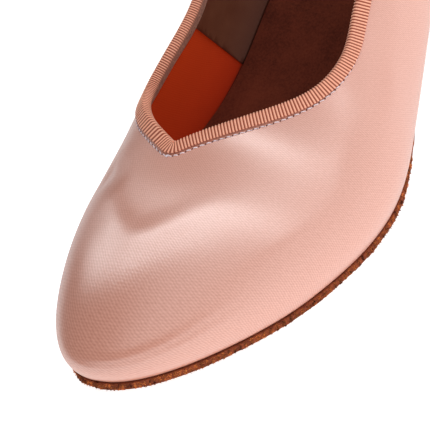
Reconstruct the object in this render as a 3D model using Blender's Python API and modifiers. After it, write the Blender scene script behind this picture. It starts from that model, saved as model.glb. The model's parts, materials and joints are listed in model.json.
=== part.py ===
"""A closed latin dance shoe for the left foot, built as it is made on a last.

Metres, +Z up. The toe points along -Y and the outer side of the foot is +X. The
origin is on the floor, under the middle of the heel tip.
"""
import math
from collections import namedtuple

import bmesh
import bpy
from mathutils import Vector
from mathutils.bvhtree import BVHTree

# Last
LENGTH = 0.238  # toe to back of the seat, in plan
BALL_WIDTH = 0.078  # across the feather edge at the ball
INSTEP_HEIGHT = 0.060  # the last's unit of height over the feather edge
HEEL_HEIGHT = 0.055  # how much higher the back of the seat is than the ball
BACK_OVERHANG = 0.030  # back of the seat behind the middle of the heel tip
TOE_ROUND = 0.057  # length over which the toe's outline closes
TOE_POINT = 2.25  # 2 closes it as an ellipse, more as a squarer toe
SEAT_ROUND = 0.030  # length over which the seat's outline closes

# Soles and wall
SOLE = 0.0022  # outsole
INSOLE = 0.0020
WALL = 0.0015  # satin, canvas and lining of the upper
MARGIN = 0.009  # lasting margin turned under the last
SEAM = 0.0003  # gap between pieces that are cemented together
SOLE_PROUD = 0.0003  # sole's edge outside the feather edge
INSOLE_EASE = 0.0006  # insole's edge inside the wall

# Binding of the topline
TAPE = 0.0005
OUTER_LEG = 0.0036
INNER_LEG = 0.0052

# Heel
SEAT_LENGTH = 0.052  # heel breast to back of the seat
HEEL_INSET = 0.0008  # heel's top edge inside the feather edge
TIP_LENGTH = 0.021
TIP_WIDTH = 0.019
TIP_THICK = 0.006

# Cross sections of the last. place runs from the toe, 0, to the back, 1. rise is a
# share of HEEL_HEIGHT, ridge of INSTEP_HEIGHT, full of the ridge, the rest of
# BALL_WIDTH. inner and outer are half widths of the feather edge, axis is the middle
# of the sole and lean is the ridge beside it. swell_in and swell_out are how far the
# wall stands past the feather edge, at the height full. crown is how far the bottom
# sags in its middle, and tuck how far the sole's edge is drawn in under the waist.
Section = namedtuple(
    "Section", "place inner outer rise ridge axis lean swell_in swell_out full crown tuck"
)
SECTIONS = [
    Section(0.00, 0.300, 0.345, 0.075, 0.260, -0.030, 0.000, 0.030, 0.030, 0.35, 0.00, 0.00),
    Section(0.10, 0.370, 0.410, 0.025, 0.395, -0.020, 0.000, 0.036, 0.036, 0.35, 0.00, 0.00),
    Section(0.20, 0.430, 0.490, 0.000, 0.535, -0.010, -0.010, 0.038, 0.040, 0.34, 0.00, 0.00),
    Section(0.30, 0.460, 0.545, 0.000, 0.655, 0.000, -0.090, 0.039, 0.052, 0.28, 0.00, 0.00),
    Section(0.38, 0.455, 0.555, 0.036, 0.780, 0.000, -0.040, 0.053, 0.055, 0.28, 0.00, 0.00),
    Section(0.50, 0.375, 0.470, 0.220, 0.900, 0.000, -0.030, 0.068, 0.051, 0.25, 0.03, 0.02),
    Section(0.62, 0.330, 0.390, 0.540, 1.270, 0.000, -0.020, 0.080, 0.073, 0.20, 0.04, 0.06),
    Section(0.75, 0.310, 0.345, 0.800, 1.340, 0.000, 0.000, 0.070, 0.065, 0.18, 0.03, 0.04),
    Section(0.88, 0.325, 0.335, 0.960, 1.430, 0.000, 0.000, 0.050, 0.050, 0.17, 0.02, 0.01),
    Section(1.00, 0.330, 0.335, 1.000, 1.480, 0.000, 0.000, 0.045, 0.045, 0.17, 0.00, 0.01),
]
FRONT_FAN = 0.13  # before this place the sections turn round the toe
BACK_FAN = 0.88  # behind it they turn round the seat
LOW = 0.2  # share of a section's way below the height full

# The topline, as the way from the feather edge, 0, to the ridge, 1, on each side.
Edge = namedtuple("Edge", "place inner outer")
TOPLINE = [
    Edge(0.268, 1.00, 1.00),
    Edge(0.312, 0.75, 0.85),
    Edge(0.368, 0.54, 0.685),
    Edge(0.424, 0.55, 0.61),
    Edge(0.500, 0.52, 0.585),
    Edge(0.620, 0.50, 0.50),
    Edge(0.750, 0.49, 0.49),
    Edge(0.880, 0.50, 0.50),
    Edge(1.000, 0.54, 0.54),
]
SQUARE_FROM = 0.50  # behind this place the wall's lines keep to their own section

# Heel, from its tip, 0, to the seat, 1. front, back and width go from the tip's
# size, 0, to the seat's, 1.
Ring = namedtuple("Ring", "level front back width")
HEEL = [
    Ring(0.00, 0.00, 0.00, 0.00),
    Ring(0.12, -0.03, 0.00, -0.04),
    Ring(0.28, -0.02, 0.06, 0.00),
    Ring(0.44, 0.04, 0.20, 0.16),
    Ring(0.60, 0.16, 0.42, 0.42),
    Ring(0.74, 0.36, 0.66, 0.69),
    Ring(0.86, 0.65, 0.85, 0.88),
    Ring(0.95, 0.90, 0.96, 0.97),
    Ring(1.00, 1.00, 1.00, 1.00),
]

# Steps: stations round the last, rows up the wall and over the margin, points across
# the soles and the heel's breast, rings that close its top, and the binding's fold
TOE_STEPS, SIDE_STEPS, SEAT_STEPS = 8, 22, 6
THROAT_CROWDING = 1.2  # more than 1 brings the wall's lines together at the throat
WALL_ROWS = 15
MARGIN_SHARES = (1.0, 0.55, 0.15)
ACROSS = 6
BREAST_STEPS = 4
SEAT_SHARES = (0.67, 0.33, 0)
FOLD_STEPS = 4
HALVINGS = 30  # when a station is searched for

# For slopes, for the wall's direction round a point and for joining equal points
STEP = 0.0002
NEAR = 0.001
MERGE = 0.00001
SHARP_DEGREES = 40


def slope(rows, values, k):
    """Slope of a column's curve at a row, none where it runs level to a neighbour."""
    if k in (0, len(rows) - 1):
        a = min(k, len(rows) - 2)
        return (values[a + 1] - values[a]) / (rows[a + 1].place - rows[a].place)
    before = rows[k].place - rows[k - 1].place
    after = rows[k + 1].place - rows[k].place
    climb_in = (values[k] - values[k - 1]) / before
    climb_out = (values[k + 1] - values[k]) / after
    if climb_in == 0 or climb_out == 0:
        return 0.0
    return (climb_in * after + climb_out * before) / (before + after)


def read(rows, column, place):
    """A column's value at a place, on a smooth curve through the rows."""
    values = [getattr(row, column) for row in rows]
    place = min(max(place, rows[0].place), rows[-1].place)
    k = 0
    while k < len(rows) - 2 and rows[k + 1].place < place:
        k += 1
    gap = rows[k + 1].place - rows[k].place
    t = (place - rows[k].place) / gap
    start, end = slope(rows, values, k) * gap, slope(rows, values, k + 1) * gap
    return (
        values[k] * (1 + 2 * t) * (1 - t) ** 2
        + start * t * (1 - t) ** 2
        + values[k + 1] * t * t * (3 - 2 * t)
        + end * t * t * (t - 1)
    )


def cap(distance, reach, power):
    """Closes an outline from full width, 1, at reach to nothing at distance 0."""
    if distance >= reach:
        return 1.0
    if distance <= 0:
        return 0.0
    return (1 - (1 - distance / reach) ** power) ** (1 / power)


def y_of(place):
    return BACK_OVERHANG - (1 - place) * LENGTH


def place_of(y):
    return 1 - (BACK_OVERHANG - y) / LENGTH


def half_width(place, side):
    """Half width of the feather edge; side is 1 on the outer side, -1 on the inner."""
    width = read(SECTIONS, "outer" if side > 0 else "inner", place) * BALL_WIDTH
    toe = cap(place * LENGTH, TOE_ROUND, TOE_POINT)
    return width * toe * cap((1 - place) * LENGTH, SEAT_ROUND, 2)


def axis_x(place):
    return read(SECTIONS, "axis", place) * BALL_WIDTH


def feather(place, side):
    """The feather edge in plan, where the wall meets the bottom."""
    return axis_x(place) + side * half_width(place, side), y_of(place)


def feather_height(place):
    return SOLE + SEAM + read(SECTIONS, "rise", place) * HEEL_HEIGHT


def spine(place):
    """The point of the ridge that a section's lines run to."""
    place = min(max(place, FRONT_FAN), BACK_FAN)
    return axis_x(place) + read(SECTIONS, "lean", place) * BALL_WIDTH, y_of(place)


def section_point(place, side, way):
    """A point of the upper's outer face; way is 0 at the feather edge, 1 at the ridge."""
    mx, my = spine(place)
    fx, fy = feather(place, side)
    column = "swell_out" if side > 0 else "swell_in"
    swell = read(SECTIONS, column, place) * BALL_WIDTH / math.hypot(fx - mx, fy - my)
    full = read(SECTIONS, "full", place)
    if way < LOW:
        t = way / LOW
        reach = 1 + swell * (1 - (1 - t) ** 2)
        climb = full * t
    else:
        turn = (way - LOW) / (1 - LOW) * math.pi / 2
        reach = (1 + swell) * math.cos(turn)
        climb = full + (1 - full) * math.sin(turn)
    x = mx + (fx - mx) * reach
    y = my + (fy - my) * reach
    here = place_of(y) if way > 0 else place
    return x, y, feather_height(here) + climb * read(SECTIONS, "ridge", here) * INSTEP_HEIGHT


def edge_way(place, side):
    return read(TOPLINE, "outer" if side > 0 else "inner", place)


def flat_point(place, side, way):
    """The same point with the wall laid flat, on a straight line to the spine."""
    mx, my = spine(place)
    fx, fy = feather(place, side)
    return mx + (fx - mx) * (1 - way), my + (fy - my) * (1 - way)


def from_flat(x, y):
    """Place, side and way of a point of the wall laid flat."""
    place = place_of(y)
    if place >= FRONT_FAN:
        mx, my = spine(place)
        side = 1 if x >= mx else -1
        fx, fy = feather(place, side)
        return place, side, 1 - (x - mx) / (fx - mx)
    mx, my = spine(0)
    tx, ty = feather(0, 1)
    side = 1 if (tx - mx) * (y - my) >= (ty - my) * (x - mx) else -1
    low, high = 0.0, FRONT_FAN
    for _ in range(HALVINGS):
        middle = (low + high) / 2
        fx, fy = feather(middle, side)
        if ((fx - mx) * (y - my) - (fy - my) * (x - mx)) * side > 0:
            low = middle
        else:
            high = middle
    fx, fy = feather(low, side)
    return low, side, 1 - math.hypot(x - mx, y - my) / math.hypot(fx - mx, fy - my)


def stations():
    """Places of the sections, close together round the toe and the seat."""
    quarter = math.pi / 2
    toe = [FRONT_FAN * (1 - math.cos(quarter * k / TOE_STEPS)) for k in range(TOE_STEPS)]
    side = [FRONT_FAN + (BACK_FAN - FRONT_FAN) * k / SIDE_STEPS for k in range(SIDE_STEPS)]
    seat = [math.sin(quarter * k / SEAT_STEPS) for k in range(SEAT_STEPS + 1)]
    return toe + side + [BACK_FAN + (1 - BACK_FAN) * share for share in seat]


def wall_line(index, side):
    """Points of the outer face from the feather edge to the topline, at one station."""
    places = stations()
    join = next(i for i, place in enumerate(places) if place >= SQUARE_FROM)
    place = places[index]
    throat = TOPLINE[0].place
    shares = [r / WALL_ROWS for r in range(WALL_ROWS + 1)]
    shares = [u * u * (3 - 2 * u) for u in shares]
    if index >= join:
        top = edge_way(place, side)
        return [section_point(place, side, top * share) for share in shares]
    top_place = throat + (SQUARE_FROM - throat) * (index / join) ** THROAT_CROWDING
    top = edge_way(top_place, side)
    fx, fy = feather(place, side)
    tx, ty = flat_point(top_place, side, top)
    line = [section_point(place, side, 0)]
    for share in shares[1:-1]:
        line.append(section_point(*from_flat(fx + (tx - fx) * share, fy + (ty - fy) * share)))
    return line + [section_point(top_place, side, top)]


def bottom_height(x, y):
    """The last's bottom, level across the ball and sagging in its middle behind it."""
    place = place_of(y)
    beside = x - axis_x(place)
    half = half_width(place, 1 if beside >= 0 else -1)
    across = min(abs(beside) / half, 1) if half > STEP else 1
    sag = read(SECTIONS, "crown", place) * BALL_WIDTH * (1 - across * across)
    return feather_height(place) - sag


def bottom_point(x, y, lift):
    """A point lift above the last's bottom, measured square to it."""
    ahead = bottom_height(x, y + STEP) - bottom_height(x, y - STEP)
    beside = bottom_height(x + STEP, y) - bottom_height(x - STEP, y)
    square = Vector((-beside, -ahead, 2 * STEP)).normalized()
    return Vector((x, y, bottom_height(x, y))) + square * lift


def edge_point(place, side, inset):
    """A plan point set in from the feather edge by inset, square to it."""
    x, y = feather(place, side)
    if place in (0, 1):
        return x, y + inset * (1 if place == 0 else -1)
    ahead = Vector(feather(place + STEP, side))
    run = ahead - Vector(feather(place - STEP, side))
    inward = Vector((-run.y, run.x)).normalized() * side * inset
    return x + inward.x, y + inward.y


def both_sides(line):
    """One line for each station, round the outer side and back round the inner."""
    count = len(stations())
    outer = [line(index, 1) for index in range(count)]
    return outer + [line(index, -1) for index in range(count - 2, 0, -1)]


def margin_line(index, side):
    """The lasting margin, from its inner edge out towards the feather edge."""
    place = stations()[index]
    start = Vector(feather(place, side))
    inward = (Vector(spine(place)) - start).normalized() * MARGIN
    points = [start + inward * share for share in MARGIN_SHARES]
    return [(x, y, bottom_height(x, y)) for x, y in points]


def across_bottom(places, inset, lift):
    """Lines across the last's bottom, from the outer edge to the inner."""
    lines = []
    for place in places:
        outer = Vector(edge_point(place, 1, inset(place)))
        inner = Vector(edge_point(place, -1, inset(place)))
        points = [outer.lerp(inner, k / ACROSS) for k in range(ACROSS + 1)]
        lines.append([bottom_point(x, y, lift) for x, y in points])
    return lines


def skin(name, lines, material, ring=False, closed=False):
    """An object with a face between each two neighbouring points of its lines."""
    shape = bmesh.new()
    rows = [[shape.verts.new(point) for point in line] for line in lines]
    following = rows[1:] + rows[:1] if ring else rows[1:]
    for one, other in zip(rows, following):
        for corners in zip(one, other, other[1:], one[1:]):
            shape.faces.new(corners)
    bmesh.ops.remove_doubles(shape, verts=shape.verts, dist=MERGE)
    if closed:
        bmesh.ops.recalc_face_normals(shape, faces=shape.faces)
    mesh = bpy.data.meshes.new(name)
    shape.to_mesh(mesh)
    shape.free()
    mesh.materials.append(material)
    mesh.shade_smooth()
    mesh.set_sharp_from_angle(angle=math.radians(SHARP_DEGREES))
    piece = bpy.data.objects.new(name, mesh)
    SHOE.objects.link(piece)
    return piece


def thicken(piece, thickness, upward=False):
    """Gives an open skin its thickness, under its faces or over them."""
    wall = piece.modifiers.new("Thickness", "SOLIDIFY")
    wall.thickness = thickness
    wall.offset = 1 if upward else -1
    wall.use_even_offset = True
    wall.use_quality_normals = True


def finish(name, colour, roughness):
    """A plain material from an sRGB hex colour."""
    channels = [int(colour[k : k + 2], 16) / 255 for k in (0, 2, 4)]
    linear = [((c + 0.055) / 1.055) ** 2.4 if c > 0.04045 else c / 12.92 for c in channels]
    material = bpy.data.materials.new(name)
    material.use_nodes = True
    shader = material.node_tree.nodes["Principled BSDF"]
    shader.inputs["Base Color"].default_value = (*linear, 1)
    shader.inputs["Roughness"].default_value = roughness
    shader.inputs["Metallic"].default_value = 0
    return material


def upper():
    """Satin upper: a wall from the margin under the last up to the topline."""
    margins, walls = both_sides(margin_line), both_sides(wall_line)
    lines = [margin + wall for margin, wall in zip(margins, walls)]
    thicken(skin("upper", lines, finish("satin", "DDB0A2", 0.35), ring=True), WALL)
    return walls


def wall_tree(walls):
    """The wall's outer face, to find the nearest point of it."""
    rows = len(walls[0])
    faces = []
    for i in range(len(walls)):
        one, other = i * rows, (i + 1) % len(walls) * rows
        for r in range(rows - 1):
            faces.append((one + r, other + r, other + r + 1, one + r + 1))
    return BVHTree.FromPolygons([point for line in walls for point in line], faces)


def outward(tree, point):
    """The direction square to the wall, taken over the faces round a point."""
    hits = tree.find_nearest_range(point, NEAR)
    return sum((hit[1] for hit in hits), Vector()).normalized()


def binding(walls):
    """Ribbed tape folded over the topline, with a mitre at the throat."""
    tree = wall_tree(walls)
    out, back = SEAM + TAPE, WALL + SEAM + TAPE
    middle, half = (out - back) / 2, (out + back) / 2
    fold = []
    for k in range(1, FOLD_STEPS):
        turn = math.pi * k / FOLD_STEPS
        fold.append((middle + half * math.cos(turn), -out * math.sin(turn)))
    outside = [(out, OUTER_LEG), (out, OUTER_LEG / 2), (out, 0)] + fold
    outside += [(-back, 0), (-back, INNER_LEG / 2), (-back, INNER_LEG)]
    inside = [(-WALL - SEAM, INNER_LEG), (-WALL - SEAM, INNER_LEG / 2), (-WALL - SEAM, 0)]
    inside += [(-WALL - SEAM, -SEAM), (SEAM, -SEAM)]
    inside += [(SEAM, 0), (SEAM, OUTER_LEG / 2), (SEAM, OUTER_LEG)]
    edge = [Vector(line[-1]) for line in walls]
    lines = []
    for i, corner in enumerate(edge):
        ahead = edge[(i + 1) % len(edge)]
        along = (ahead - edge[i - 1]).normalized()
        square = outward(tree, corner)
        down = along.cross(square).normalized()
        mitre = 1 / down.cross((ahead - corner).normalized()).length
        line = []
        for aside, depth in outside + inside:
            point = corner + down * depth * mitre
            if depth > 0:
                point = tree.find_nearest(point)[0]
                line.append(point + outward(tree, point) * aside)
            else:
                line.append(point + square * aside)
        lines.append(line + line[:1])
    skin("binding", lines, finish("grosgrain", "E3A088", 0.7), ring=True, closed=True)


def insole():
    """Suede-covered insole on the turned margin, inside the wall."""
    lines = across_bottom(stations(), lambda place: WALL + INSOLE_EASE, WALL + SEAM)
    thicken(skin("insole", lines, finish("dark suede", "43201A", 0.95)), INSOLE, upward=True)


def breast_y():
    return BACK_OVERHANG - SEAT_LENGTH


def outsole():
    """Suede outsole from the toe to the heel's breast, drawn in under the waist."""
    slant = bottom_point(0, breast_y(), -SEAM - SOLE).y - breast_y()
    end = place_of(breast_y() - SEAM - max(slant, 0))
    places = [place for place in stations() if place < end - MERGE] + [end]

    def inset(place):
        return read(SECTIONS, "tuck", place) * BALL_WIDTH - SOLE_PROUD

    lines = across_bottom(places, inset, -SEAM)
    thicken(skin("outsole", lines, finish("sole suede", "7C3D2A", 0.95)), SOLE)


def heel_outline():
    """The heel's top edge: round the back from breast to breast, then across."""
    front = place_of(breast_y())
    places = [front] + [place for place in stations() if place > front + MERGE]
    outer = [Vector(edge_point(place, 1, HEEL_INSET)) for place in places]
    inner = [Vector(edge_point(place, -1, HEEL_INSET)) for place in places[-2::-1]]
    corner = inner[-1]
    across = [corner.lerp(outer[0], k / BREAST_STEPS) for k in range(1, BREAST_STEPS)]
    return outer + inner + across


def mix(tip, seat, share):
    return tip + (seat - tip) * share


def heel_lines(outline, rings, low, high):
    """Lines up the heel, one for each point of its outline, from a pole to a pole.

    low and high give the height of the first and the last ring at a plan point.
    """
    front, back = min(y for x, y in outline), max(y for x, y in outline)
    half = (max(x for x, y in outline) - min(x for x, y in outline)) / 2
    lines = []
    for x, y in outline:
        along = (y - front) / (back - front)
        line = [(0, 0, low)]
        for ring in rings:
            near = mix(-TIP_LENGTH / 2, front, ring.front)
            far = mix(TIP_LENGTH / 2, back, ring.back)
            wide = mix(TIP_WIDTH / 2 / half, 1, ring.width)
            line.append((x * wide, mix(near, far, along), mix(low, high(x, y), ring.level)))
        lines.append(line)
    return lines


def seat_height(x, y):
    return bottom_point(x, y, -SEAM).z


def heel():
    """Satin-covered heel under the seat, on its tip."""
    outline = heel_outline()
    middle = sum(outline, Vector((0, 0))) / len(outline)
    lines = heel_lines(outline, HEEL, TIP_THICK + SEAM, seat_height)
    for line, corner in zip(lines, outline):
        for share in SEAT_SHARES:
            x, y = middle.lerp(corner, share)
            line.append((x, y, seat_height(x, y)))
    skin("heel", lines, finish("heel satin", "D9AB9D", 0.4), ring=True, closed=True)


def heel_tip():
    """The tip that the heel stands on."""
    rings = [HEEL[0], HEEL[0]._replace(level=1.0)]
    lines = heel_lines(heel_outline(), rings, 0, lambda x, y: TIP_THICK)
    lines = [line + [(0, 0, TIP_THICK)] for line in lines]
    skin("heel_tip", lines, finish("tip", "3A2A26", 0.6), ring=True, closed=True)


for thing in list(bpy.data.objects):
    bpy.data.objects.remove(thing, do_unlink=True)
SHOE = bpy.data.collections.new("latin_dance_shoe")
bpy.context.scene.collection.children.link(SHOE)

binding(upper())
insole()
outsole()
heel()
heel_tip()
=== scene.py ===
"""A pale satin latin dance shoe for the left foot, dressed in the order of its making.

Metres, +Z up. The toe points along -Y and the outer side of the foot is +X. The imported
solids give every place, and each section dresses one piece or pair of pieces.
"""
import json
import math
import random

import bmesh
import bpy
from mathutils import Matrix, Vector, noise
from mathutils.bvhtree import BVHTree
from mathutils.kdtree import KDTree

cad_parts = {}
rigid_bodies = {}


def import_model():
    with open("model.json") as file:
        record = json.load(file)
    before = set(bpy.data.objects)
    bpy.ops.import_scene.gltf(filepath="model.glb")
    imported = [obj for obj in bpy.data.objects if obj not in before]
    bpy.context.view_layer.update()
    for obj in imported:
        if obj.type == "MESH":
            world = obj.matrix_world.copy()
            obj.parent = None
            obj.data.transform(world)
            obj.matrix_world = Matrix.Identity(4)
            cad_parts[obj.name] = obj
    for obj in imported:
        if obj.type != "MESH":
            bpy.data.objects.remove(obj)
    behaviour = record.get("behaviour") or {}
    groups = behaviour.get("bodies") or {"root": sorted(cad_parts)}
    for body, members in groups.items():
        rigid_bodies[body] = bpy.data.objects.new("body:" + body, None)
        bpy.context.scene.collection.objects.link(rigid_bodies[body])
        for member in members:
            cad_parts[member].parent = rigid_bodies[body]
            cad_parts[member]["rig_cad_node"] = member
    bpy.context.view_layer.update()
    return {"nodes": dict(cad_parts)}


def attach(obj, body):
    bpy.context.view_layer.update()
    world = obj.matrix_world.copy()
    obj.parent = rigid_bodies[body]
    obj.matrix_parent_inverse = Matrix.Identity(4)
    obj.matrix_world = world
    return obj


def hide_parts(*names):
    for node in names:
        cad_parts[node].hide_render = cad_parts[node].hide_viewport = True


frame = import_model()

# Insole. A thin board under a sock of dark brown suede, cemented down inside the lasted
# upper. The sock is wrapped over the board's edge, which leaves a rounded rim and a dark
# slit along the wall.
MERGE = 1e-6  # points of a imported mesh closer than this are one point
SHARP = math.radians(50)  # edges that turn by more than this are rounded off
SOCK_ROUND = 0.0006
scene = bpy.context.scene


def only(piece):
    """Selects one piece alone, as the active one."""
    bpy.ops.object.select_all(action="DESELECT")
    piece.select_set(True)
    bpy.context.view_layer.objects.active = piece


def modify(piece, kind, **settings):
    """Adds a modifier to a piece and applies it."""
    only(piece)
    modifier = piece.modifiers.new(kind.lower(), kind)
    for name, value in settings.items():
        setattr(modifier, name, value)
    bpy.ops.object.modifier_apply(modifier=modifier.name)


def rounded(piece, width, segments):
    """Rounds off a piece's sharp edges."""
    modify(
        piece, "BEVEL", width=width, segments=segments, limit_method="ANGLE",
        angle_limit=SHARP,
    )


def smoothed(piece):
    """Subdivides a piece twice."""
    modify(piece, "SUBSURF", levels=2, render_levels=2)


def joined_copy(node, name):
    """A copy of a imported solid, its loose triangles joined up into quads."""
    piece = frame["nodes"][node].copy()
    piece.data = piece.data.copy()
    piece.name = piece.data.name = name
    piece.parent = None
    del piece["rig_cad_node"]
    scene.collection.objects.link(piece)
    piece.data.materials.clear()
    only(piece)
    bpy.ops.mesh.customdata_custom_splitnormals_clear()
    bpy.ops.object.mode_set(mode="EDIT")
    bpy.ops.mesh.select_all(action="SELECT")
    bpy.ops.mesh.remove_doubles(threshold=MERGE)
    bpy.ops.mesh.tris_convert_to_quads(
        face_threshold=math.pi, shape_threshold=math.pi, topology_influence=2
    )
    bpy.ops.object.mode_set(mode="OBJECT")
    return piece


def linear(colour):
    """An sRGB hex colour as Blender's linear one."""
    shares = [int(colour[k : k + 2], 16) / 255 for k in (0, 2, 4)]
    return (*(s / 12.92 if s <= 0.04045 else ((s + 0.055) / 1.055) ** 2.4 for s in shares), 1)


def add(material, kind, sockets=None, **settings):
    """Adds one node with its settings, and each socket's value or link."""
    node = material.node_tree.nodes.new("ShaderNode" + kind)
    for name, value in settings.items():
        setattr(node, name, value)
    for name, value in (sockets or {}).items():
        if isinstance(value, bpy.types.NodeSocket):
            material.node_tree.links.new(value, node.inputs[name])
        else:
            node.inputs[name].default_value = value
    return node


def surface(name, sockets):
    """A material with one Principled shader, and the values that are even all over."""
    material = bpy.data.materials.new(name)
    material.use_nodes = True
    shader = material.node_tree.nodes["Principled BSDF"]
    for socket, value in sockets.items():
        shader.inputs[socket].default_value = value
    return material


def wire(material, socket, output):
    """Links an output to a socket of the material's Principled shader."""
    shader = material.node_tree.nodes["Principled BSDF"]
    material.node_tree.links.new(output, shader.inputs[socket])


FACTOR, COLOUR_A, COLOUR_B, MIXED = 0, 6, 7, 2  # sockets of a Mix node set to colours


def suede(name, dark, light, nap_mm, patch_mm, depth_mm):
    """Split leather with a raised nap: brushed patches, fine fibres and a soft bloom."""
    material = surface(
        name,
        {"Roughness": 0.95, "Specular IOR Level": 0.2, "Sheen Weight": 0.25,
         "Sheen Roughness": 0.4, "Sheen Tint": linear(light)},
    )
    place = add(material, "TexCoord").outputs["Object"]
    nap = add(
        material, "TexNoise",
        {"Vector": place, "Scale": 1000 / nap_mm, "Detail": 3, "Roughness": 0.65},
    ).outputs["Fac"]
    patch = add(
        material, "TexNoise",
        {"Vector": place, "Scale": 1000 / patch_mm, "Detail": 3, "Roughness": 0.55},
    ).outputs["Fac"]
    both = add(material, "Math", {0: nap, 1: patch}, operation="ADD").outputs[0]
    share = add(
        material, "MapRange", {"Value": both, "From Min": 0.7, "From Max": 1.3}
    ).outputs[0]
    colour = add(
        material, "Mix",
        {FACTOR: share, COLOUR_A: linear(dark), COLOUR_B: linear(light)},
        data_type="RGBA",
    ).outputs[MIXED]
    wire(material, "Base Color", colour)
    bump = add(
        material, "Bump", {"Height": nap, "Distance": depth_mm / 1000, "Strength": 0.7}
    ).outputs[0]
    wire(material, "Normal", bump)
    return material


insole = joined_copy("insole", "insole_sock")
rounded(insole, SOCK_ROUND, 3)
smoothed(insole)
# Suede sock, split cowhide brushed to a short nap: nearly black in shade, with faint
# lighter strokes where the nap lies the other way.
insole.data.materials.append(suede(
    "brushed_suede_sock", "4A1B0F", "6C2F1D", nap_mm=0.7, patch_mm=11, depth_mm=0.15
))
bpy.ops.object.shade_smooth()
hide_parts("insole")
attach(insole, "root")

# Upper. Satin backed with canvas, cut in one piece, closed up the back of the heel and
# pulled over the last, with its margin turned in under the insole. The wall's inside is
# faced with an orange drill.
RIM_SHARP = math.radians(60)  # only the rims' edges turn by more than this
BACK_HIGH = 0.1  # the topline stands above this height at the back alone
WALL_ROWS = 15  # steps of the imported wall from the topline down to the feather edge
MARGIN_STEPS = (0.0012, 0.0035, 0.0060)  # inward from the feather edge
MARGIN_BELOW = 0.02  # the margin is looked for upwards from this far below
MARGIN_JUMP = 0.002  # a find further than this from the last row's height missed it
FACING_ROW = 5  # at this row the back wall surely faces +Y
UP = Vector((0, 0, 1))
WALL = 0.0015  # the wall's thickness


def left_of(here, there):
    """The third corner of the triangle on the left of the edge from here to there."""
    for loop in here.link_loops:
        if loop.link_loop_next.vert is there:
            return loop.link_loop_prev.vert


def topline_row(shell):
    """The outer rim of the topline as a ring of vertices, the outer wall on its left."""
    sharp = {}
    for edge in shell.edges:
        if edge.calc_face_angle() > RIM_SHARP:
            for vertex in edge.verts:
                sharp.setdefault(vertex, []).append(edge.other_vert(vertex))
    start = max((v for v in sharp if v.co.z > BACK_HIGH), key=lambda v: v.co.y)
    row = [start, sharp[start][0]]
    while True:
        on = row[-1].co - row[-2].co
        ahead = [v for v in sharp[row[-1]] if v is not row[-2]]
        ahead = min(ahead, key=lambda v: (v.co - row[-1].co).angle(on))
        if ahead is start:
            break
        row.append(ahead)
    if left_of(row[0], row[1]).co.y < start.co.y - WALL / 2:
        row = row[:1] + row[:0:-1]
    return row


def next_row(row):
    """The next row of the shell. A fan of triangles stands over each point of a row, and
    the counts in the fans tell which of their corners lie straight below."""
    fans = []
    for i, here in enumerate(row):
        corner, fan = row[(i + 1) % len(row)], []
        while corner is not row[i - 1]:
            corner = left_of(here, corner)
            fan.append(corner)
        fans.append(fan[:-1])
    first = next((i for i, fan in enumerate(fans) if len(fan) != 2), None)
    if first is None:
        ways = [sum((fan[k].co - v.co).length for fan, v in zip(fans, row)) for k in (0, 1)]
        first, lean = 0, ways.index(min(ways))
    else:
        lean = 1 if len(fans[first]) > 2 else 0
    out = [None] * len(row)
    for step in range(len(row)):
        i = (first + step) % len(row)
        if step:
            lean += len(fans[i]) - 2
        out[i] = fans[i][lean]
    return out


shell = bmesh.new()
shell.from_mesh(frame["nodes"]["upper"].data)
bmesh.ops.remove_doubles(shell, verts=shell.verts, dist=MERGE)
rows = [topline_row(shell)]
for step in range(WALL_ROWS):
    rows.append(next_row(rows[-1]))
rows = [[vertex.co.copy() for vertex in row] for row in rows]
under = BVHTree.FromBMesh(shell)
shell.free()
ring = len(rows[0])
feather = rows[WALL_ROWS]
centre = sum(feather, Vector()) / ring
for reach in MARGIN_STEPS:
    row = []
    for i, point in enumerate(feather):
        along = feather[(i + 1) % ring] - feather[i - 1]
        inward = Vector((-along.y, along.x, 0)).normalized()
        if inward.dot(centre - point) < 0:
            inward.negate()
        spot = point + inward * reach
        hit = under.ray_cast(spot - UP * MARGIN_BELOW, UP)[0]
        row.append(hit if hit and abs(hit.z - rows[-1][i].z) < MARGIN_JUMP else spot)
    rows.append(row)


def grid_piece(name, grid, closed_across=False):
    """A piece of quads over rows of points, each row a closed ring."""
    count = len(grid[0])
    last = len(grid) if closed_across else len(grid) - 1
    faces = []
    for r in range(last):
        one, other = r * count, (r + 1) % len(grid) * count
        for i in range(count):
            on = (i + 1) % count
            faces.append((one + i, one + on, other + on, other + i))
    mesh = bpy.data.meshes.new(name)
    mesh.from_pydata([point for row in grid for point in row], [], faces)
    piece = bpy.data.objects.new(name, mesh)
    scene.collection.objects.link(piece)
    only(piece)
    bpy.ops.object.shade_smooth()
    return piece


upper = grid_piece("satin_upper", rows)
# The share of the way down the wall, for the painted shade on the linings: 0 at the
# topline, 1 at the feather edge and on the margin.
lows = [min(row / WALL_ROWS, 1) for row in range(len(rows)) for point in range(ring)]
upper.data.attributes.new("low", "FLOAT", "POINT").data.foreach_set("value", lows)
throat = min(range(ring), key=lambda i: rows[0][i].y)
toe = min(range(ring), key=lambda i: rows[WALL_ROWS][i].y)
heel_back = max(range(ring), key=lambda i: rows[WALL_ROWS][i].y)

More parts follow.
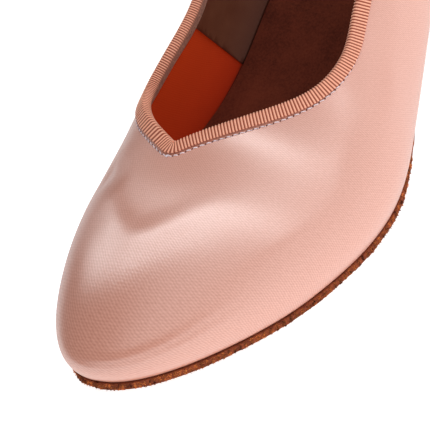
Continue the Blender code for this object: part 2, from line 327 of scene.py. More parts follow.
# The cut piece is laid out flat, slit up the back of the heel, and turned so that V runs
# from the toe to the throat, in real metres.
cut = bmesh.new()
cut.from_mesh(upper.data)
cut.edges.ensure_lookup_table()
for edge in cut.edges:
    columns = {vertex.index % ring for vertex in edge.verts}
    edge.seam = columns == {heel_back}
bmesh.ops.recalc_face_normals(cut, faces=cut.faces)
cut.verts.ensure_lookup_table()
if cut.verts[FACING_ROW * ring + heel_back].link_faces[0].normal.y < 0:
    bmesh.ops.reverse_faces(cut, faces=cut.faces)
cut.to_mesh(upper.data)
cut.free()
bpy.ops.object.mode_set(mode="EDIT")
bpy.ops.mesh.select_all(action="SELECT")
bpy.ops.uv.unwrap(method="ANGLE_BASED", margin=0)
bpy.ops.uv.minimize_stretch(fill_holes=False, iterations=60)
bpy.ops.object.mode_set(mode="OBJECT")
flat = upper.data.uv_layers.active
spots = {loop.vertex_index: flat.uv[k].vector.copy() for k, loop in enumerate(upper.data.loops)}
spread = 0
for face in upper.data.polygons:
    corners = [flat.uv[k].vector for k in face.loop_indices]
    spread += abs(sum(a.cross(b) for a, b in zip(corners, corners[1:] + corners[:1]))) / 2
real = math.sqrt(sum(face.area for face in upper.data.polygons) / spread)
start = spots[WALL_ROWS * ring + toe]
up_vamp = (spots[throat] - start).normalized()
for spot in flat.uv:
    away = spot.vector - start
    spot.vector = Vector((away.cross(up_vamp), up_vamp.dot(away))) * real

# Both rims and the throat's point stay sharp through the smoothing.
crease = upper.data.attributes.new("crease_edge", "FLOAT", "EDGE")
for edge, sharp in zip(upper.data.edges, crease.data):
    edge_rows = [vertex // ring for vertex in edge.vertices]
    if edge_rows[0] == edge_rows[1] and edge_rows[0] in (0, len(rows) - 1):
        sharp.value = 1
crease_corner = upper.data.attributes.new("crease_vert", "FLOAT", "POINT")
crease_corner.data[throat].value = 1
smoothed(upper)

# The toe puff's edge shows as a soft crest across the vamp, and on the inner side there
# is a small dent behind it. The back seam is a fine closed groove.
CREST = [
    Vector((-0.0240, -0.1640, 0.0275)), Vector((-0.0195, -0.1615, 0.0312)),
    Vector((-0.0132, -0.1683, 0.0308)), Vector((-0.0051, -0.1735, 0.0304)),
    Vector((0.0011, -0.1712, 0.0312)), Vector((0.0085, -0.1655, 0.0324)),
    Vector((0.0203, -0.1530, 0.0334)),
]
CREST_HIGH = (0.00010, 0.00024, 0.00026, 0.00024, 0.00022, 0.00018, 0.0)
DENT = [
    Vector((-0.0284, -0.1511, 0.0300)), Vector((-0.0235, -0.1535, 0.0320)),
    Vector((-0.0185, -0.1575, 0.0335)),
]
DENT_DEEP = (0.00095, 0.00045, 0.0)
SOFT_WIDE = 0.0042  # half the width of the crest and of the dent
SEAM_HALF = 0.0005  # half the width of the back seam's groove
SEAM_DEEP = 0.0003
SEAM_CORE = 0.25  # the share of that half width that is sunk


def depth_along(point, line, depths):
    """How deep a soft line, given with its depth at each of its points, sinks a point."""
    near, depth = 1.0, 0.0
    for k in range(len(line) - 1):
        a, b = line[k], line[k + 1]
        share = min(max((point - a).dot(b - a) / (b - a).length_squared, 0), 1)
        apart = (point - a.lerp(b, share)).length
        if apart < near:
            near, depth = apart, depths[k] * (1 - share) + depths[k + 1] * share
    return depth * math.exp(-((near / SOFT_WIDE) ** 2))


body = bmesh.new()
body.from_mesh(upper.data)
body.normal_update()
pushes = [
    vertex.normal * (
        depth_along(vertex.co, CREST, CREST_HIGH) - depth_along(vertex.co, DENT, DENT_DEEP)
    )
    for vertex in body.verts
]
for vertex, push in zip(body.verts, pushes):
    vertex.co += push
seam_edges = [edge for edge in body.edges if edge.seam]
middle_points = KDTree(2 * len(seam_edges))
for k, edge in enumerate(seam_edges):
    for end in edge.verts:
        middle_points.insert(end.co, k)
middle_points.balance()
bmesh.ops.bevel(
    body, geom=seam_edges, offset=SEAM_HALF, segments=2, profile=0.5, affect="EDGES",
)
body.normal_update()
groove = [v for v in body.verts if middle_points.find(v.co)[2] < SEAM_HALF * SEAM_CORE]
for vertex in groove:
    vertex.co -= vertex.normal * SEAM_DEEP
body.to_mesh(upper.data)
body.free()
outer_wall = bmesh.new()
outer_wall.from_mesh(upper.data)
wall_tree = BVHTree.FromBMesh(outer_wall)
outer_wall.free()

# Duchess satin, polyester warp-faced weave: floats too fine to see one by one, a faint
# twill line across them and a broad silky light.
TWILL_MM = 0.55  # twill lines and floats are drawn coarser than real ones, to show at all
FLOAT_MM = 0.6
SLUBS = 1.3  # to the millimetre, so each is about 0.8 mm
FLOAT_SHARE, SLUB_SHARE = 0.6, 2.4  # the twill lines count as 1
TWILL_TURN = math.radians(-46)
WAVE_TURNS = 20  # radians that a Wave texture of scale 1 turns in one unit


def bands(spacing_mm):
    """A wave pattern's scale for that spacing, on a vector in millimetres."""
    return math.tau / WAVE_TURNS / spacing_mm


satin = surface(
    "woven_satin",
    {"Roughness": 0.26, "IOR": 1.7, "Specular IOR Level": 1.0, "Anisotropic": 0.85,
     "Sheen Weight": 0.08, "Sheen Roughness": 0.35, "Sheen Tint": linear("FFE8E0")},
)
weft = add(satin, "Tangent", direction_type="UV_MAP", uv_map="UVMap").outputs[0]
wire(satin, "Tangent", weft)
cloth = add(satin, "UVMap").outputs["UV"]
cloth_mm = add(satin, "Mapping", {"Vector": cloth, "Scale": (1000, 1000, 1000)}).outputs[0]
turned = add(
    satin, "Mapping", {"Vector": cloth_mm, "Rotation": (0, 0, TWILL_TURN)}
).outputs[0]
twill = add(
    satin, "TexWave",
    {"Vector": turned, "Scale": bands(TWILL_MM), "Distortion": 3.2, "Detail": 3,
     "Detail Scale": 1.2},
).outputs["Fac"]
floats = add(
    satin, "TexWave",
    {"Vector": cloth_mm, "Scale": bands(FLOAT_MM), "Distortion": 3, "Detail": 3,
     "Detail Scale": 1.5},
    bands_direction="Y",
).outputs["Fac"]
slub = add(
    satin, "TexNoise",
    {"Vector": cloth_mm, "Scale": SLUBS, "Detail": 5, "Roughness": 0.75},
).outputs["Fac"]
crossed = add(
    satin, "Math", {0: floats, 1: FLOAT_SHARE, 2: twill}, operation="MULTIPLY_ADD"
).outputs[0]
weave = add(
    satin, "Math", {0: slub, 1: SLUB_SHARE, 2: crossed}, operation="MULTIPLY_ADD"
).outputs[0]
share = add(satin, "MapRange", {"Value": weave, "From Min": 0.7, "From Max": 3.3}).outputs[0]
colour = add(
    satin, "Mix", {FACTOR: share, COLOUR_A: linear("C5826D"), COLOUR_B: linear("E4A693")},
    data_type="RGBA",
).outputs[MIXED]
wire(satin, "Base Color", colour)
bump = add(satin, "Bump", {"Height": weave, "Distance": 0.00003, "Strength": 0.16}).outputs[0]
wire(satin, "Normal", bump)

# Cotton drill lining, piece dyed a bright orange: matt, with fine ribs along the foot.
# A faint painted glow keeps it bright in the shade, and painted shade makes it browner
# towards the insole and dark on the margin.
DRILL_MM = 0.7  # one rib to the next
# The emission is a painted glow that keeps the drill bright in the shade; it is no lamp.
drill = surface(
    "orange_drill_lining",
    {"Roughness": 0.9, "Specular IOR Level": 0.15, "Sheen Weight": 0.35,
     "Sheen Tint": linear("FF6828"), "Emission Color": linear("E8401A"),
     "Emission Strength": 0.05},
)
cloth = add(drill, "UVMap").outputs["UV"]
cloth_mm = add(drill, "Mapping", {"Vector": cloth, "Scale": (1000, 1000, 1000)}).outputs[0]
drill_ribs = add(
    drill, "TexWave",
    {"Vector": cloth_mm, "Scale": bands(DRILL_MM), "Distortion": 2.5, "Detail": 3},
    bands_direction="Y",
).outputs["Fac"]
unshaded = add(
    drill, "Mix",
    {FACTOR: drill_ribs, COLOUR_A: linear("FA4C1C"), COLOUR_B: linear("FF5622")},
    data_type="RGBA",
).outputs[MIXED]
# Painted shade: the drill is coloured browner down the wall towards the insole.
low = add(drill, "Attribute", attribute_name="low").outputs["Fac"]
low_shade = add(drill, "MapRange", {"Value": low, "From Min": 0.32, "From Max": 0.95}).outputs[0]
shaded_low = add(
    drill, "Mix", {FACTOR: low_shade, COLOUR_A: unshaded, COLOUR_B: linear("9A2208")},
    data_type="RGBA",
).outputs[MIXED]
# Painted shade: the lowest rows and the margin are coloured nearly black.
margin_shade = add(drill, "MapRange", {"Value": low, "From Min": 0.9, "From Max": 1}).outputs[0]
colour = add(
    drill, "Mix", {FACTOR: margin_shade, COLOUR_A: shaded_low, COLOUR_B: linear("1C0A06")},
    data_type="RGBA",
).outputs[MIXED]
wire(drill, "Base Color", colour)
bump = add(
    drill, "Bump", {"Height": drill_ribs, "Distance": 0.0001, "Strength": 0.14}
).outputs[0]
wire(drill, "Normal", bump)
upper.data.materials.append(satin)
upper.data.materials.append(drill)
modify(upper, "SOLIDIFY", thickness=WALL, offset=-1, material_offset=1, material_offset_rim=1)
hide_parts("upper")
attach(upper, "root")

# Binding. Ribbed grosgrain tape folded over the topline and stitched through. It is eased
# round the throat, so its ribs fan out there, and its inner leg has felted to a flat nap.
RIB = 0.00095  # one rib to the next
RIB_HIGH = 0.00030
RIB_SUNK = 0.4  # the share of that height which lies under the tape's mean face
RIB_STEPS = 6  # places along one rib
TAPE = 0.0005  # the tape's thickness
CLEAR = 0.0003  # cement between tape and wall
OUTER_LEG = 0.0036
INNER_LEG = 0.0075
PRESSED = 0.0001  # the outer leg's cut edge is pressed in by this
COUNTED = 0.6  # ribs are counted along the line this share of the way down the outer leg
OPENED, CLOSED = 1.7, 0.8  # the ribs' spacing round the throat's inner corner and behind it
OPENS_OVER = 0.001  # from the throat back
CLOSES_FROM, CLOSES_OVER = 0.012, 0.012
FINE = 0.0003  # steps of the topline before the ribs are set out on it
EASED, EVENED = 16, 10  # softenings of the topline, and of its square directions
NEARBY = 0.0022  # reach over which the wall's direction is evened out
HUG = 0.7  # how far the legs turn from the edge's square to the wall's own


def evenly(line, step):
    """A closed line's points, set again at equal steps along it."""
    ahead = line[1:] + line[:1]
    total = sum((b - a).length for a, b in zip(line, ahead))
    count = round(total / step)
    out, walked, wanted = [], 0, 0
    for a, b in zip(line, ahead):
        length = (b - a).length
        while wanted < walked + length and len(out) < count:
            out.append(a.lerp(b, (wanted - walked) / length))
            wanted += total / count
        walked += length
    return out


def softened(line, times):
    """A closed line with each point drawn towards its neighbours."""
    for turn in range(times):
        line = [
            (line[i - 1] + point * 2 + line[(i + 1) % len(line)]) / 4
            for i, point in enumerate(line)
        ]
    return line


def refined(line, corner):
    """One subdivision of a closed line, as the upper's rim has, the corner kept sharp."""
    out = []
    for i, point in enumerate(line):
        behind, ahead = line[i - 1], line[(i + 1) % len(line)]
        out.append(point if i == corner else (behind + point * 6 + ahead) / 8)
        out.append((point + ahead) / 2)
    return out


def wall_normal(point):
    """The direction square to the outer wall near a point, evened out a little."""
    found = wall_tree.find_nearest_range(point, NEARBY)
    return sum((hit[1] for hit in found), Vector()).normalized()


topline = refined(refined(rows[0], throat), throat * 2)
topline = softened(evenly(topline, FINE), EASED)
squares = softened([wall_normal(point) for point in topline], EVENED)
downs, middles = [], []
for i, point in enumerate(topline):
    along = topline[(i + 1) % len(topline)] - topline[i - 1]
    down = squares[i].cross(along).normalized()
    downs.append(down)
    middles.append(point + down * OUTER_LEG * COUNTED)


def rib_room(point):
    """The ribs' spacing at a place, as a share of the common one."""
    if point.x > rows[0][throat].x:
        return 1
    behind = point.y - rows[0][throat].y
    opened = 1 + (OPENED - 1) * min(max(behind, 0) / OPENS_OVER, 1)
    shut = min(max((behind - CLOSES_FROM) / CLOSES_OVER, 0), 1)
    return opened * (1 - shut) + CLOSED * shut


def rib_height(rib):
    """The height of the ribbed face at a place, as a share of a rib."""
    return 0.5 - 0.5 * math.cos(rib * math.tau)


lengths = [
    (b - a).length / rib_room(a) for a, b in zip(middles, middles[1:] + middles[:1])
]
rib_count = round(sum(lengths) / RIB)
stations = []  # (edge point, square, down, share of a rib)
walked, k = 0, 0
step = sum(lengths) / (rib_count * RIB_STEPS)
for i, length in enumerate(lengths):
    on = (i + 1) % len(topline)
    while k * step < walked + length and k < rib_count * RIB_STEPS:
        t = (k * step - walked) / length
        stations.append((
            topline[i].lerp(topline[on], t),
            squares[i].lerp(squares[on], t).normalized(),
            downs[i].lerp(downs[on], t).normalized(),
            k / RIB_STEPS,
        ))
        k += 1
    walked += length

outside = CLEAR + TAPE
inside = WALL + CLEAR + TAPE
middle, half = (outside - inside) / 2, (outside + inside) / 2
# Round the fold over the edge: degrees from the outer face, and the ribs' share there.
FOLD = ((15, 1), (40, 1), (65, 1), (90, 1), (115, 0.85), (140, 0.6), (165, 0.4))
# Each place across the tape: way out from the wall's face, depth under the edge, the
# ribs' share there and how much of the plain inner leg it is.
ACROSS = [(CLEAR, OUTER_LEG, 0.6, 0), (outside - PRESSED, OUTER_LEG, 0.95, 0)]
ACROSS += [(outside, OUTER_LEG * share, 1, 0) for share in (0.94, 0.66, 0.33, 0.08)]
for turn, share in FOLD:
    turn = math.radians(turn)
    ACROSS.append((middle + half * math.cos(turn), -outside * math.sin(turn), share, 0))
ACROSS += [(-inside, INNER_LEG * share, 0.4 - share, 0.1 + 3 * share) for share in (0.08, 0.3)]
ACROSS += [(-inside, INNER_LEG * share, 0.15, 1) for share in (0.55, 0.8, 0.97)]
ACROSS += [(-WALL - CLEAR, INNER_LEG, 0, 1), (-WALL - CLEAR, 0, 0, 1), (CLEAR, 0, 0, 0)]

lines = [[] for place in ACROSS]
for corner, square, down, rib in stations:
    for line, (aside, depth, share, leg) in zip(lines, ACROSS):
        lift = RIB_HIGH * share * (rib_height(rib) - RIB_SUNK)
        if depth > 0:
            spot = wall_tree.find_nearest(corner + down * depth)[0]
            push = square.lerp(wall_normal(spot), HUG).normalized()
            line.append(spot + push * (aside + math.copysign(lift, aside)))
        else:
            turn = math.atan2(-depth / outside, (aside - middle) / half)
            out = square * math.cos(turn) - down * math.sin(turn)
            line.append(corner + down * depth + square * aside + out * lift)
rib_marks, leg_marks = [], []
for aside, depth, share, leg in ACROSS:
    for corner, square, down, rib in stations:
        rib_marks.append(rib_height(rib) * share + 0.5 * (1 - share))
        leg_marks.append(leg)
binding = grid_piece("binding_tape", lines, closed_across=True)
for name, values in (("rib", rib_marks), ("leg", leg_marks)):
    binding.data.attributes.new(name, "FLOAT", "POINT").data.foreach_set("value", values)
bpy.ops.object.mode_set(mode="EDIT")
bpy.ops.mesh.select_all(action="SELECT")
bpy.ops.mesh.normals_make_consistent(inside=False)
bpy.ops.object.mode_set(mode="OBJECT")

# Rayon grosgrain, woven over heavy weft cords: salmon on the cords with painted shade in
# the hollows between them, dusty and flat where the inner leg has rubbed.
FUZZ_MM = 0.625
grosgrain = surface(
    "ribbed_grosgrain",
    {"Roughness": 0.55, "Specular IOR Level": 0.4, "Sheen Weight": 0.2,
     "Sheen Roughness": 0.4, "Sheen Tint": linear("FFD9C8")},
)
rib = add(grosgrain, "Attribute", attribute_name="rib").outputs["Fac"]
leg = add(grosgrain, "Attribute", attribute_name="leg").outputs["Fac"]
place = add(grosgrain, "TexCoord").outputs["Object"]
fuzz = add(
    grosgrain, "TexNoise",
    {"Vector": place, "Scale": 1000 / FUZZ_MM, "Detail": 3, "Roughness": 0.7},
).outputs["Fac"]
# Painted shade: the hollows between the cords are coloured a burnt brown.
share = add(grosgrain, "MapRange", {"Value": rib, "From Min": 0.2, "From Max": 0.7}).outputs[0]
ribbed = add(
    grosgrain, "Mix", {FACTOR: share, COLOUR_A: linear("963C20"), COLOUR_B: linear("FAB496")},
    data_type="RGBA",
).outputs[MIXED]
share = add(grosgrain, "MapRange", {"Value": fuzz, "From Min": 0.35, "From Max": 0.65}).outputs[0]
felted = add(
    grosgrain, "Mix", {FACTOR: share, COLOUR_A: linear("A86450"), COLOUR_B: linear("FFC8AE")},
    data_type="RGBA",
).outputs[MIXED]
colour = add(
    grosgrain, "Mix", {FACTOR: leg, COLOUR_A: ribbed, COLOUR_B: felted}, data_type="RGBA"
).outputs[MIXED]
wire(grosgrain, "Base Color", colour)
bump = add(grosgrain, "Bump", {"Height": fuzz, "Distance": 0.00012, "Strength": 0.5}).outputs[0]
wire(grosgrain, "Normal", bump)
binding.data.materials.append(grosgrain)
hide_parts("binding")
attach(binding, "root")

# Quarter lining. Thin brown leather, cemented inside the back half of the wall. Its
# front edges are cut straight and lie over the drill, and its lower edge ends at the
# insole.
LEATHER = 0.0007
SEAM_LOW = Vector((-0.0274, -0.0823, 0.0201))  # the inner front edge at the insole
SEAM_SQUARE = Vector((0.422, 0.773, 0.473))  # square to the cut along that edge
CREASE_WIDE = 0.0011  # the shaded slit along the insole
CREASE_FADES = 1.4  # it has faded out this many widths from the insole
BACK_GAP = 0.00003  # from the back seam to each half of the lining
LEVEL = 0.75  # faces flatter than this lie on the margin
RIM_SHARE = 0.8  # faces nearer to the outer wall than this share of its thickness are a rim's

# Plated pigskin, drum dyed dark brown: a low waxy gloss and fine pores. Painted shade makes
# it darker towards the insole, and a painted shadow makes it nearly black in the slit beside it.
PORES, CLOUDS = 1100, 90  # to the metre: pores 0.9 mm apart, and clouds of 11 mm
leather = surface("plated_pigskin_lining", {"Roughness": 0.6, "Specular IOR Level": 0.25})
place = add(leather, "TexCoord").outputs["Object"]
pores = add(leather, "TexVoronoi", {"Vector": place, "Scale": PORES}).outputs["Distance"]
cloud = add(
    leather, "TexNoise", {"Vector": place, "Scale": CLOUDS, "Detail": 5, "Roughness": 0.6}
).outputs["Fac"]
share = add(leather, "MapRange", {"Value": cloud, "From Min": 0.2, "From Max": 0.8}).outputs[0]
unshaded = add(
    leather, "Mix", {FACTOR: share, COLOUR_A: linear("80442E"), COLOUR_B: linear("A4694C")},
    data_type="RGBA",
).outputs[MIXED]
# Painted shade: darker down the wall towards the insole.
low = add(leather, "Attribute", attribute_name="low").outputs["Fac"]
low_shade = add(leather, "MapRange", {"Value": low, "From Min": 0.2, "From Max": 0.95}).outputs[0]
darker = add(
    leather, "Mix", {FACTOR: low_shade, COLOUR_A: unshaded, COLOUR_B: linear("5A3022")},
    data_type="RGBA",
).outputs[MIXED]
# Painted shadow: nearly black in the slit beside the insole.
slit = add(leather, "Attribute", attribute_name="slit").outputs["Fac"]
colour = add(
    leather, "Mix", {FACTOR: slit, COLOUR_A: darker, COLOUR_B: linear("0C0605")},
    data_type="RGBA",
).outputs[MIXED]
wire(leather, "Base Color", colour)
bump = add(leather, "Bump", {"Height": pores, "Distance": 0.00006, "Strength": 0.4}).outputs[0]
wire(leather, "Normal", bump)

sock_tree = BVHTree.FromPolygons(
    [vertex.co for vertex in insole.data.vertices],
    [face.vertices[:] for face in insole.data.polygons],
)
for side, across, flat_size, flat_area in (
    ("outer", 1, (0.0767, 0.1694), 0.0070), ("inner", -1, (0.0686, 0.1684), 0.0068),
):
    lining = upper.copy()
    lining.data = upper.data.copy()
    lining.name = lining.data.name = "quarter_lining_" + side
    scene.collection.objects.link(lining)
    for key in list(lining.keys()):
        del lining[key]  # the upper's own marks, which don't hold for the lining
    lining.parent = None
    only(lining)
    bpy.ops.object.mode_set(mode="EDIT")
    bpy.ops.mesh.select_mode(type="FACE")
    bpy.ops.mesh.select_all(action="DESELECT")
    bpy.ops.object.mode_set(mode="OBJECT")
    for face in lining.data.polygons:
        apart = (face.center - wall_tree.find_nearest(face.center)[0]).length
        on_rim = apart < WALL * RIM_SHARE
        face.select = face.material_index == 0 or on_rim or face.normal.z > LEVEL
    bpy.ops.object.mode_set(mode="EDIT")
    bpy.ops.mesh.delete(type="FACE")
    bpy.ops.mesh.select_all(action="SELECT")
    mirror = Vector((-across, 1, 1))
    bpy.ops.mesh.bisect(
        plane_co=SEAM_LOW * mirror, plane_no=(SEAM_SQUARE * mirror).normalized(),
        clear_inner=True,
    )
    bpy.ops.mesh.select_all(action="SELECT")
    bpy.ops.mesh.bisect(
        plane_co=(across * BACK_GAP, 0, 0), plane_no=(across, 0, 0), clear_inner=True
    )
    bpy.ops.object.mode_set(mode="OBJECT")
    lining.data.materials.clear()
    modify(lining, "SOLIDIFY", thickness=LEATHER, offset=1)
    # The share of painted shadow in the slit beside the sock, fading out away from it.
    slits = []
    for vertex in lining.data.vertices:
        apart = sock_tree.find_nearest(vertex.co)[3]
        slits.append(min(max(CREASE_FADES - apart / CREASE_WIDE, 0), 1))
    lining.data.attributes.new("slit", "FLOAT", "POINT").data.foreach_set("value", slits)
    lining.data.materials.append(leather)
    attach(lining, "root")

# Stitches of the binding. A lilac-white thread, 2 mm to the stitch, sunk in the ditch
# beside the tape: each stitch slants a little and dives into a needle hole, drawn as a
# dark plug of painted shadow.
STITCH = 0.0020
THREAD = 0.00017  # half the thread's thickness
THREAD_SIDES = 6
BESIDE = 0.0007  # from the tape's edge to the seam at the throat
TUCKED = 0.0003  # under the tape's edge, where the seam is hidden further back
TUCKS_FROM, TUCKS_OVER = 0.03, 0.03  # from the throat
SLANT = 0.0005
STITCH_ON = 0.05  # a stitch starts this share of its length past its hole
# Each place along a stitch: share of its length, height over the satin, share of the
# thread's thickness.
STITCH_ARC = (
    (0.10, -0.0003, 0.6), (0.18, 0.00004, 0.9), (0.36, 0.00016, 1), (0.58, 0.00016, 1),
    (0.76, 0.00004, 0.9), (0.84, -0.0003, 0.6),
)
HOLE_LONG, HOLE_WIDE = 0.00034, 0.0002  # half sizes
HOLE_PROUD, HOLE_DEEP = 0.00004, 0.0003
HOLE_TURN = 0.8  # a hole is turned by this slope from its stitch
HOLE_SIDES = 8
KNOT_ENDS = 5
KNOT_REACH = 0.0006
KNOT_FOOT, KNOT_HIGH = 0.0001, 0.00025


def tube(points, radii, sides):
    """Vertices and faces of a closed tube through a few points."""
    vertices, faces = [], []
    for k, (point, radius) in enumerate(zip(points, radii)):
        along = (points[min(k + 1, len(points) - 1)] - points[max(k - 1, 0)]).normalized()
        side = along.orthogonal().normalized()
        for turn in range(sides):
            angle = math.tau * turn / sides
            away = side * math.cos(angle) + along.cross(side) * math.sin(angle)
            vertices.append(point + away * radius)
    for k in range(len(points) - 1):
        for turn in range(sides):
            on = (turn + 1) % sides
            faces.append((
                k * sides + turn, k * sides + on, (k + 1) * sides + on, (k + 1) * sides + turn,
            ))
    faces.append(tuple(range(sides))[::-1])
    faces.append(tuple(range(len(vertices) - sides, len(vertices))))
    return vertices, faces


def many(name, shapes):
    """One piece of many small shapes, each given as vertices and faces."""
    vertices, faces = [], []
    for points, sides in shapes:
        first = len(vertices)
        vertices += points
        faces += [tuple(first + corner for corner in face) for face in sides]
    mesh = bpy.data.meshes.new(name)
    mesh.from_pydata(vertices, [], faces)
    piece = bpy.data.objects.new(name, mesh)
    scene.collection.objects.link(piece)
    only(piece)
    bpy.ops.object.shade_smooth()
    return piece


seam = []
for corner, square, down, rib in stations:
    away = (corner - rows[0][throat]).length
    tucked = min(max((away - TUCKS_FROM) / TUCKS_OVER, 0), 1)
    depth = OUTER_LEG + BESIDE - (BESIDE + TUCKED) * tucked
    spot = wall_tree.find_nearest(corner + down * depth)[0]
    seam.append((spot, wall_normal(spot), down))
seam_length = sum((a[0] - b[0]).length for a, b in zip(seam, seam[1:] + seam[:1]))
stitch_count = round(seam_length / STITCH)
walked, knots = 0, []
for i, (spot, square, down) in enumerate(seam):
    if walked >= len(knots) * seam_length / stitch_count and len(knots) < stitch_count:
        knots.append(i)
    walked += (seam[(i + 1) % len(seam)][0] - spot).length
threads, holes = [], []
for k, i in enumerate(knots):
    j = knots[(k + 1) % len(knots)]
    spot, square, down = seam[i]
    ahead = seam[j][0] - spot
    line, radii = [], []
    for share, lift, radius in STITCH_ARC:
        aside = down * SLANT * (0.5 - share)
        line.append(spot + ahead * (share + STITCH_ON) + aside + square * lift)
        radii.append(THREAD * radius)
    threads.append(tube(line, radii, THREAD_SIDES))
    rim = []
    across = ahead.normalized()
    for turn in range(HOLE_SIDES):
        angle = math.tau * turn / HOLE_SIDES
        rim.append(
            spot + square * HOLE_PROUD
            + (across + down * HOLE_TURN).normalized() * math.cos(angle) * HOLE_LONG
            + (across * HOLE_TURN - down).normalized() * math.sin(angle) * HOLE_WIDE
        )
    foot = [point - square * HOLE_DEEP for point in rim]
    faces = [tuple(range(HOLE_SIDES)), tuple(range(2 * HOLE_SIDES - 1, HOLE_SIDES - 1, -1))]
    for n in range(HOLE_SIDES):
        on = (n + 1) % HOLE_SIDES
        faces.append((n, n + HOLE_SIDES, on + HOLE_SIDES, on))
    holes.append((rim + foot, faces))

# The seam's ends are knotted at the point of the throat.
chance = random.Random(5)
spot, square, down = min(seam, key=lambda place: place[0].y)
knot = spot + square * KNOT_FOOT
for loose_end in range(KNOT_ENDS):
    way = Vector((chance.gauss(0, 1), chance.gauss(0, 1), 0)).normalized() * KNOT_REACH
    threads.append(tube(
        [knot - way, knot + square * KNOT_HIGH, knot + way + square * KNOT_FOOT],
        [THREAD * 0.7, THREAD, THREAD * 0.6], THREAD_SIDES,
    ))
stitches = many("binding_stitches", threads)
# Spun polyester thread, dyed a pale lilac and waxed: a soft light line along each stitch.
stitches.data.materials.append(surface(
    "spun_polyester_thread", {"Base Color": linear("F6E6EC"), "Roughness": 0.5}
))
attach(stitches, "root")
# The needle holes are dark plugs of painted shadow, standing for the shade inside each hole.
pricks = many("needle_holes", holes)
pricks.data.materials.append(surface(
    "shaded_needle_hole", {"Base Color": linear("5A2A2C"), "Roughness": 1}
))
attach(pricks, "root")

# Outsole. Split suede 2.2 mm thick, cemented on after lasting. Its cut edge is rough: a
# dark line under the upper, then orange fibres standing out along the lower rim.
SOLE_ROUND = 0.0003
ROUGH_SIDE = 0.75  # places flatter than this are top or tread, and stay even
ROUGH_DEEP = 0.0003
COARSE, FINER, FINER_SHARE = 900, 2300, 0.6  # the cut's two grains, in waves to the metre
outsole = joined_copy("outsole", "suede_outsole")
rounded(outsole, SOLE_ROUND, 2)
smoothed(outsole)
for vertex in outsole.data.vertices:
    if abs(vertex.normal.z) < ROUGH_SIDE:
        bite = noise.noise(vertex.co * COARSE) + FINER_SHARE * noise.noise(vertex.co * FINER)
        vertex.co += vertex.normal * bite * ROUGH_DEEP
        vertex.co.z = max(vertex.co.z, 0)
# Split cowhide as on the insole, but coarser and left undyed, so it is lighter.
outsole.data.materials.append(suede(
    "brushed_sole_suede", "5C2A1C", "A25232", nap_mm=0.5, patch_mm=1.6, depth_mm=0.3
))
bpy.ops.object.shade_smooth()
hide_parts("outsole")
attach(outsole, "root")

# Loose fibres stand out of the cut edge in front of the waist, in tufts of tan and nearly
# black ones. The waist's own edge is trimmed.
FIBRES = 6800
WAIST = -0.099
EDGE_SIDE = 0.6  # faces steeper than this are the cut edge
FIBRE_LONG = (0.00018, 0.00055)
FIBRE_HALF = 0.00009  # half a fibre's thickness
FIBRE_DROP = -0.4  # fibres lean downwards on the whole
FIBRE_LEAN, FIBRE_CURL = 1.1, 0.5
FIBRE_ROOT = 0.0002  # depth of a fibre's root
TUFT = 600  # tufts of one tone, in waves to the metre
TUFT_SHARE, STRAY_SHARE = 1.1, 0.25  # how far a tuft and one fibre leave the middle tone
chance = random.Random(11)
edge_faces = [
    face for face in outsole.data.polygons
    if abs(face.normal.z) < EDGE_SIDE and face.center.y < WAIST
]
areas = [face.area for face in edge_faces]
fibres, shades = [], []
for face in chance.choices(edge_faces, weights=areas, k=FIBRES):
    shares = [chance.random() for corner in face.vertices]
    root = Vector()
    for share, corner in zip(shares, face.vertices):
        root += outsole.data.vertices[corner].co * share / sum(shares)
    lean = Vector((chance.gauss(0, 1), chance.gauss(0, 1), chance.gauss(FIBRE_DROP, 0.8)))
    way = (face.normal + lean.normalized() * FIBRE_LEAN).normalized()
    long = chance.uniform(*FIBRE_LONG)
    points = [
        root - face.normal * FIBRE_ROOT, root + way * long * 0.5,
        root + (way + lean.normalized() * FIBRE_CURL).normalized() * long,
    ]
    for point in points:
        point.z = max(point.z, FIBRE_HALF)
    fibres.append(tube(points, [FIBRE_HALF * 1.3, FIBRE_HALF, FIBRE_HALF * 0.4], 3))
    tone = 0.5 + TUFT_SHARE * noise.noise(root * TUFT)
    tone += chance.uniform(-STRAY_SHARE, STRAY_SHARE)
    shades += [min(max(tone, 0), 1)] * len(fibres[-1][0])
fuzz_edge = many("suede_edge_fibres", fibres)
fuzz_edge.data.attributes.new("shade", "FLOAT", "POINT").data.foreach_set("value", shades)
# Split leather fibre: matt strands, each of one tone between burnt brown and tan.
strand = surface("raised_leather_fibre", {"Roughness": 0.9, "Specular IOR Level": 0.2})
shade = add(strand, "Attribute", attribute_name="shade").outputs["Fac"]
colour = add(
    strand, "Mix", {FACTOR: shade, COLOUR_A: linear("4E2016"), COLOUR_B: linear("EA8A4A")},
    data_type="RGBA",
).outputs[MIXED]
wire(strand, "Base Color", colour)
fuzz_edge.data.materials.append(strand)
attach(fuzz_edge, "root")

# Heel. A moulded core covered in the upper's satin, drawn tight round the back and
# closed along the two edges of the breast.
COVER_ROUND = 0.0004
HEEL_MIDDLE = (0.0, -0.001)
HEEL_RADIUS = 0.016
heel = joined_copy("heel", "covered_heel")
rounded(heel, COVER_ROUND, 2)
smoothed(heel)
# The cover is wrapped round the back: U runs round the heel and V up it, in real metres.
wrap = heel.data.uv_layers.new(name="UVMap")
for face in heel.data.polygons:
    turns = []
    for corner in face.vertices:
        place = heel.data.vertices[corner].co
        turns.append(math.atan2(place.x - HEEL_MIDDLE[0], place.y - HEEL_MIDDLE[1]))
    wrapped = max(turns) - min(turns) > math.pi
    for loop, corner, turn in zip(face.loop_indices, face.vertices, turns):
        if wrapped and turn < 0:
            turn += math.tau
        wrap.uv[loop].vector = (turn * HEEL_RADIUS, heel.data.vertices[corner].co.z)
heel.data.materials.append(satin)
bpy.ops.object.shade_smooth()
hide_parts("heel")
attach(heel, "root")

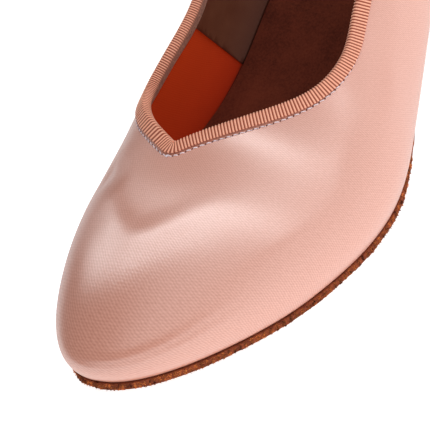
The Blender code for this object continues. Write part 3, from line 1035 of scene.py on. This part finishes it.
# Heel tip. A lift of hard rubber, moulded with a rounded rim and pinned up into the
# heel's core. It is the one piece that stands hard on the floor.
TIP_ROUND = 0.0005
tip = joined_copy("heel_tip", "rubber_heel_tip")
rounded(tip, TIP_ROUND, 3)
# Hard rubber as it comes from the mould: dark brown and dull.
tip.data.materials.append(surface(
    "moulded_rubber", {"Base Color": linear("38261F"), "Roughness": 0.6}
))
bpy.ops.object.shade_smooth_by_angle(angle=math.radians(40))
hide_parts("heel_tip")
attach(tip, "root")

# Photographer's table: a pale sweep lit from below, with softboxes overhead, on the right,
# in front and behind, and two narrow strips for the long soft lights on the vamp.
bpy.ops.mesh.primitive_plane_add(size=8, location=(0, 0, 0))
floor = bpy.context.object
floor.name = "studio_floor"
white = surface(
    "backlit_white_sweep",
    {"Base Color": linear("BEBEBE"), "Roughness": 0.9, "Emission Color": linear("FFFFFF"),
     "Emission Strength": 0.92},
)
floor.data.materials.append(white)

scene.world = bpy.data.worlds.new("studio")
scene.world.use_nodes = True
background = scene.world.node_tree.nodes["Background"]
background.inputs["Color"].default_value = linear("FFFFFF")
background.inputs["Strength"].default_value = 0.04
scene.view_settings.view_transform = "Standard"


def soft_light(name, place, aim, size, watts):
    """A white softbox, its width along the level, turned towards its aim."""
    light = bpy.data.lights.new(name, "AREA")
    light.shape = "RECTANGLE"
    light.size, light.size_y = size
    light.energy = watts
    lamp = bpy.data.objects.new(name, light)
    lamp.location = place
    lamp.rotation_euler = (Vector(aim) - Vector(place)).to_track_quat("-Z", "Y").to_euler()
    scene.collection.objects.link(lamp)


# Each light's name, place, aim, width and height, and watts.
soft_light("strip_overhead", (0.0, -0.06, 1.0), (0.0, -0.15, 0.03), (1.8, 0.07), 2.7)
soft_light("strip_left", (-0.86, 0.0, 0.55), (-0.01, -0.175, 0.03), (0.12, 0.32), 0.5)
soft_light("softbox_overhead", (0.28, -0.05, 1.10), (0.0, -0.12, 0.03), (1.6, 1.3), 5.2)
soft_light("softbox_right", (0.96, 0.04, 0.40), (0.0, -0.12, 0.03), (1.7, 0.86), 5.5)
soft_light("softbox_front", (0.2, -1.05, 0.33), (0.0, -0.12, 0.03), (1.7, 0.66), 3.2)
soft_light("softbox_behind", (0.30, 0.60, 0.85), (0.0, -0.12, 0.03), (0.9, 0.5), 2.0)

# Camera, at the photograph's angle: above, in front and from the shoe's outer side. Its
# place and lens are those that fit the shoe's outline in a frame of 430 pixels.
AZIMUTH, ELEVATION, ROLL = math.radians(43.66), math.radians(34.62), math.radians(-19.22)
AWAY = 0.7927
AIM = Vector((0.0052, -0.1494, 0.02))
FOCAL_PX, FRAME_PX = 2812.2, 430
SENSOR_MM = 36
back = Vector((
    math.sin(AZIMUTH) * math.cos(ELEVATION),
    -math.cos(AZIMUTH) * math.cos(ELEVATION),
    math.sin(ELEVATION),
))
level = Vector((math.cos(AZIMUTH), math.sin(AZIMUTH), 0))
raised = back.cross(level)
right = level * math.cos(ROLL) + raised * math.sin(ROLL)
top = raised * math.cos(ROLL) - level * math.sin(ROLL)
lens = bpy.data.cameras.new("camera")
lens.sensor_width = SENSOR_MM
lens.lens = SENSOR_MM * FOCAL_PX / FRAME_PX
camera = bpy.data.objects.new("camera", lens)
camera.matrix_world = Matrix((
    (right.x, top.x, back.x, AIM.x + back.x * AWAY),
    (right.y, top.y, back.y, AIM.y + back.y * AWAY),
    (right.z, top.z, back.z, AIM.z + back.z * AWAY),
    (0, 0, 0, 1),
))
scene.collection.objects.link(camera)
scene.camera = camera
